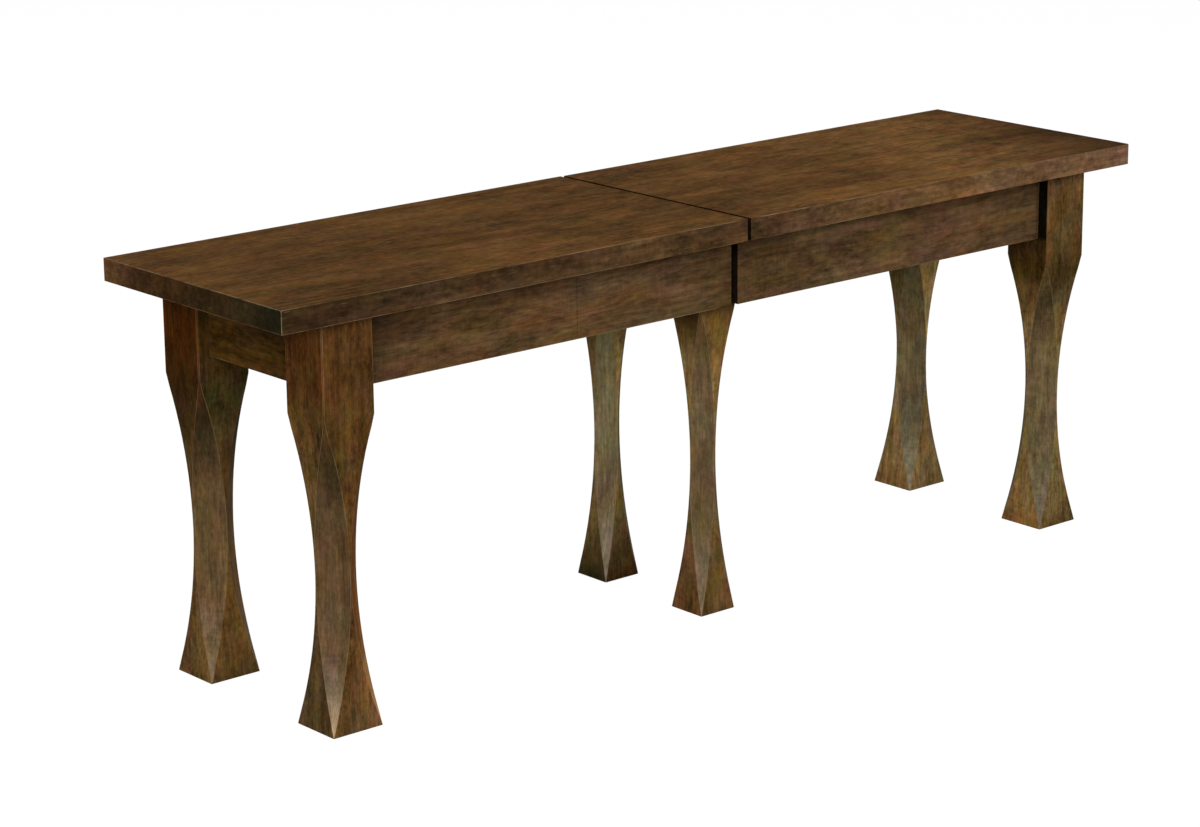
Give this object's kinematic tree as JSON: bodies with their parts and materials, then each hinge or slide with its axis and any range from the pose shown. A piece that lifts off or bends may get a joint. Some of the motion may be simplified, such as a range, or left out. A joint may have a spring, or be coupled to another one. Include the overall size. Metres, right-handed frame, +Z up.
{
  "type": "extension bench",
  "caption": "Dark stained wooden bench whose two halves slide apart over fixed middle legs, on carved hourglass legs with hollow corner facets.",
  "frame": {"origin": "on the floor at the centre of the closed bench, under the split between its halves", "axes": "+X along the seat to the right half, +Y to the back, +Z up"},
  "size_m": [1.228, 0.313, 0.4572],
  "materials": {
    "seat_wood": "dark walnut stain, semi-matte lacquer, grain along the seat",
    "leg_wood": "dark walnut stain with olive and amber blotches, semi-matte lacquer, grain up the leg",
    "apron_wood": "dark walnut stain, semi-matte lacquer, grain along the apron",
    "slide_wood": "plain unstained hardwood",
    "zinc_steel": "bright zinc plating",
    "gear_steel": "plain steel, lightly oiled"
  },
  "bodies": {
    "centre": {"bearer": "slide_wood", "pinion_spindle": "zinc_steel", "middle_leg_front": "leg_wood", "middle_leg_back": "leg_wood", "centre_rail_front": "slide_wood", "centre_rail_back": "slide_wood", "middle_bolt_front": "zinc_steel", "middle_bolt_back": "zinc_steel", "middle_nut_front": "zinc_steel", "middle_nut_back": "zinc_steel"},
    "left_half": {"left_top": "seat_wood", "left_leg_front": "leg_wood", "left_leg_back": "leg_wood", "left_corner_block_front": "slide_wood", "left_corner_block_back": "slide_wood", "left_hanger_bolt_front": "zinc_steel", "left_hanger_bolt_back": "zinc_steel", "left_hanger_nut_front": "zinc_steel", "left_hanger_nut_back": "zinc_steel", "left_apron_front": "apron_wood", "left_apron_back": "apron_wood", "left_apron_end": "apron_wood", "left_clip_front_1": "zinc_steel", "left_clip_front_2": "zinc_steel", "left_clip_back_1": "zinc_steel", "left_clip_back_2": "zinc_steel", "left_clip_end": "zinc_steel", "left_runner_outer": "slide_wood", "left_runner_inner": "slide_wood", "left_rack": "gear_steel", "left_brace": "slide_wood"},
    "right_half": {"right_top": "seat_wood", "right_leg_front": "leg_wood", "right_leg_back": "leg_wood", "right_corner_block_front": "slide_wood", "right_corner_block_back": "slide_wood", "right_hanger_bolt_front": "zinc_steel", "right_hanger_bolt_back": "zinc_steel", "right_hanger_nut_front": "zinc_steel", "right_hanger_nut_back": "zinc_steel", "right_apron_front": "apron_wood", "right_apron_back": "apron_wood", "right_apron_end": "apron_wood", "right_clip_front_1": "zinc_steel", "right_clip_front_2": "zinc_steel", "right_clip_back_1": "zinc_steel", "right_clip_back_2": "zinc_steel", "right_clip_end": "zinc_steel", "right_runner_outer": "slide_wood", "right_runner_inner": "slide_wood", "right_rack": "gear_steel", "right_brace": "slide_wood", "right_dowel_front": "slide_wood", "right_dowel_back": "slide_wood"},
    "pinion": {"pinion": "gear_steel"}
  },
  "joints": [
    {"name": "left_slide", "type": "slide", "parent": "centre", "child": "left_half", "axis": [-1, 0, 0], "range_m": [0, 0.305]},
    {"name": "right_slide", "type": "slide", "parent": "centre", "child": "right_half", "axis": [1, 0, 0], "range_m": [0, 0.305]},
    {"name": "pinion_turn", "type": "hinge", "parent": "centre", "child": "pinion", "pos_m": [0, 0, 0.4121], "axis": [0, 0, 1], "range_deg": [0, 971]}
  ],
  "couplings": [
    {"joint": "right_slide", "follows": "left_slide", "ratio": 1},
    {"joint": "pinion_turn", "follows": "left_slide", "rad_per_m": 55.556}
  ]
}
